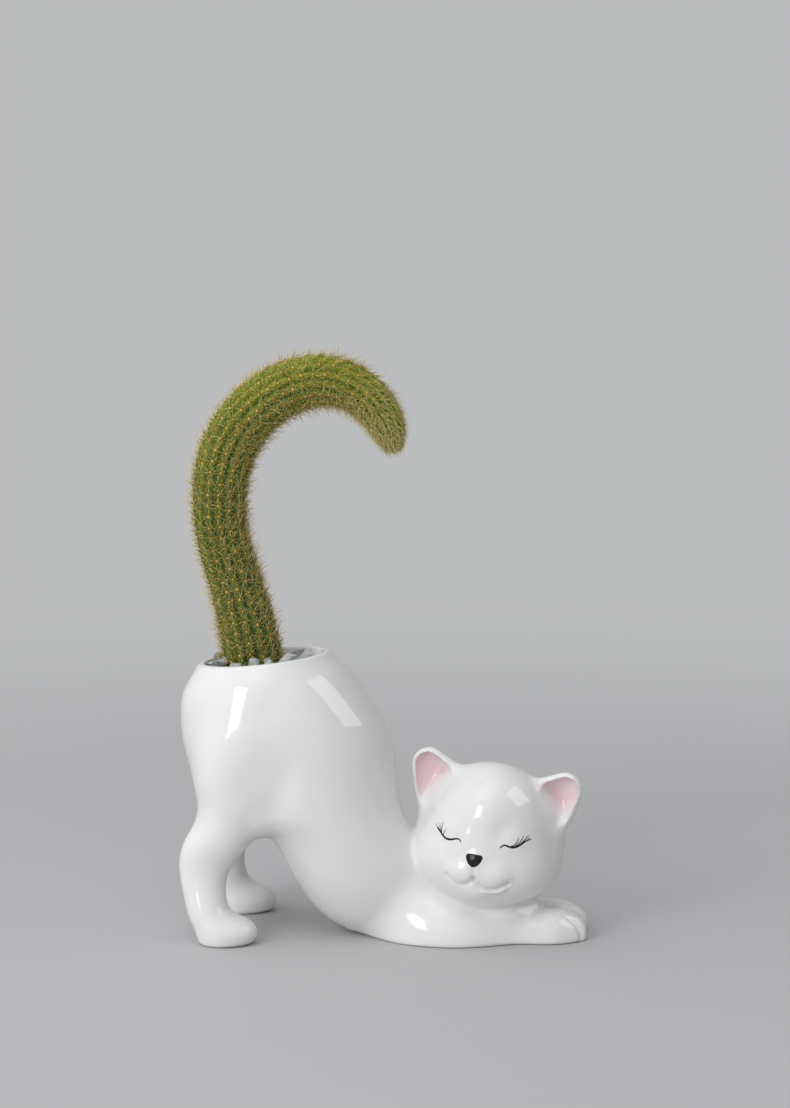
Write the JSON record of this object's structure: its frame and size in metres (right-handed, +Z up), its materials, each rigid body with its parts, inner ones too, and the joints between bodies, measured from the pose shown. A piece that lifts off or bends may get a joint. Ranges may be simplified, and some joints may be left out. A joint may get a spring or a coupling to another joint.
{
  "type": "animal shaped planter",
  "caption": "White glazed ceramic planter in the shape of a stretching cat, planted with a hooked spiny column cactus that stands as its tail.",
  "frame": {"origin": "on the surface that the planter stands on, under the middle of the planter's box", "axes": "+X runs from the rump to the forepaws, +Y is the cat's left, +Z is up; the face looks along -Y"},
  "size_m": [0.2168, 0.094, 0.3125],
  "materials": {
    "white_glaze": "glossy white ceramic glaze",
    "soil": "dark loose potting soil",
    "root": "rough pale brown root bark",
    "cactus_flesh": "moist green plant flesh",
    "cactus_skin": "waxy green skin with golden spines",
    "gravel_pale": "rough pale grey green stone",
    "gravel_grey": "rough mid grey stone"
  },
  "bodies": {
    "root": {"pot_body": "white_glaze", "hind_leg_left": "white_glaze", "hind_leg_right": "white_glaze", "foreleg_left": "white_glaze", "foreleg_right": "white_glaze", "head": "white_glaze", "ear_left": "white_glaze", "ear_right": "white_glaze", "potting_soil": "soil", "cactus_roots": "root", "cactus_core": "cactus_flesh", "cactus_skin": "cactus_skin", "gravel_pale": "gravel_pale", "gravel_grey": "gravel_grey"}
  },
  "joints": []
}
